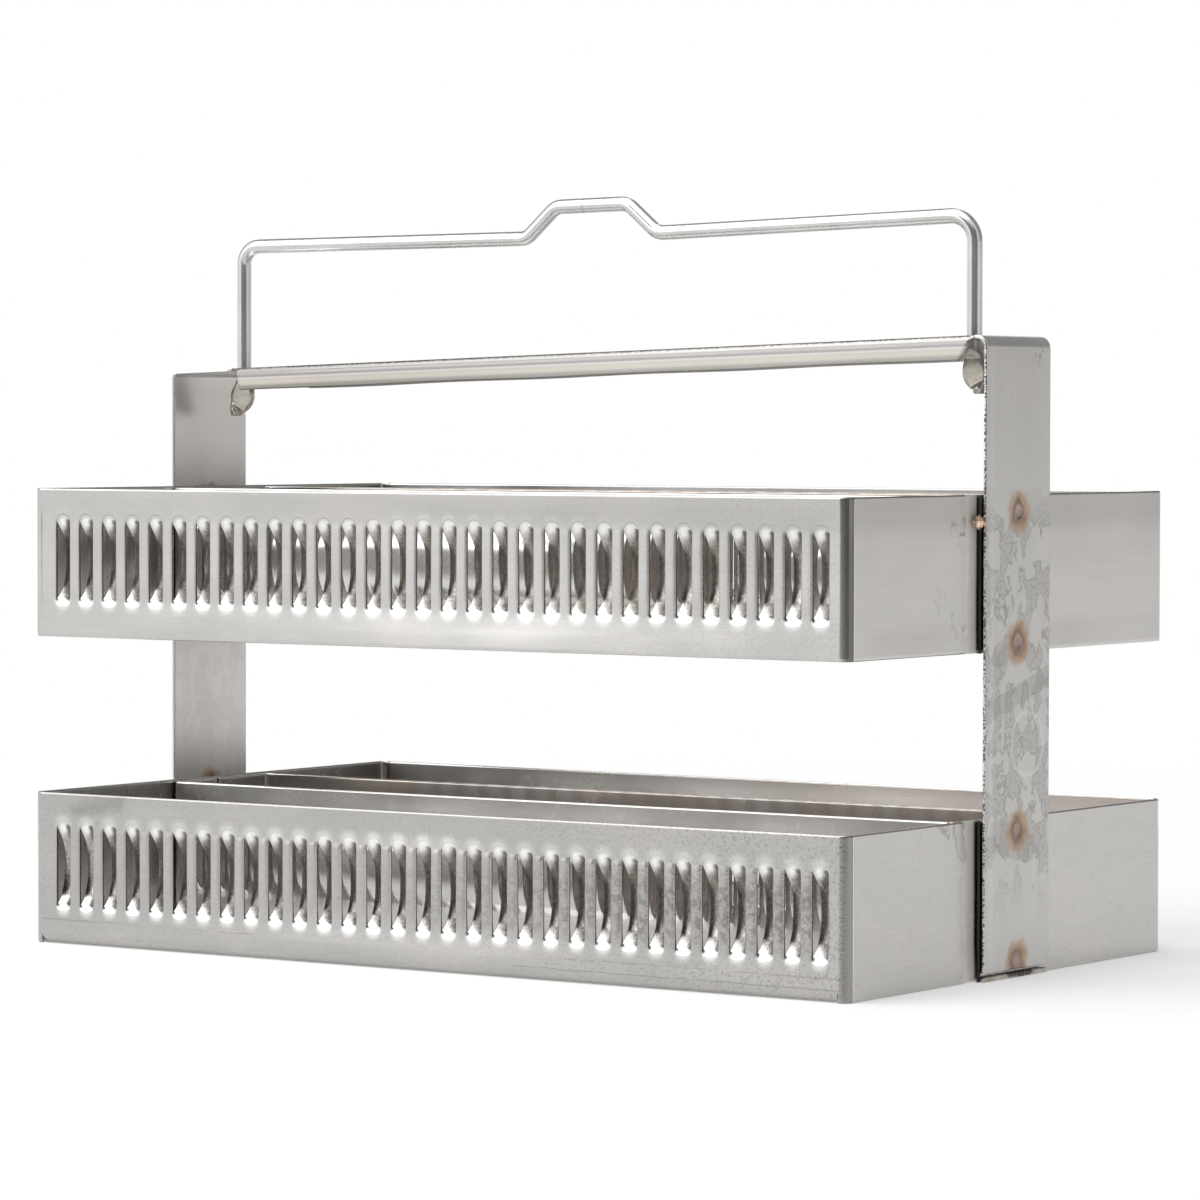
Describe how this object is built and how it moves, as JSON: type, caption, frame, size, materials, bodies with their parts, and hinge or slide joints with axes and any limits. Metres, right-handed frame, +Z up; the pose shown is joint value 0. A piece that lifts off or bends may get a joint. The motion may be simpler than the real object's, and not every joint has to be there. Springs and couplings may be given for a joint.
{
  "type": "two-tier microscope slide staining rack",
  "caption": "Two-tier sheet-steel rack that holds microscope slides on edge in lanced slots, with a strap frame and a sliding wire carrying handle.",
  "frame": {"origin": "centre of the bounding box on the surface that the rack stands on", "axes": "+X along the rack towards the lapped end wall, +Y from the front wall to the back wall, +Z up"},
  "size_m": [0.1264, 0.075, 0.0964],
  "materials": {
    "outer_sheet": "satin stainless sheet, fine pebbly grain",
    "inner_sheet": "satin stainless sheet",
    "strap_sheet": "satin stainless sheet with faint stains",
    "drawn_wire": "bright drawn stainless wire",
    "weld_bead": "fused edge with heat tint"
  },
  "bodies": {
    "rack": {"upper_outer_frame": "outer_sheet", "upper_inner_frame": "inner_sheet", "lower_outer_frame": "outer_sheet", "lower_inner_frame": "inner_sheet", "yoke_strap": "strap_sheet", "edge_weld_right": "weld_bead", "edge_weld_left": "weld_bead"},
    "handle": {"handle": "drawn_wire"}
  },
  "joints": [
    {"name": "handle_slide", "type": "slide", "parent": "rack", "child": "handle", "axis": [0, 0, 1], "range_m": [-0.011, 0.001]}
  ]
}
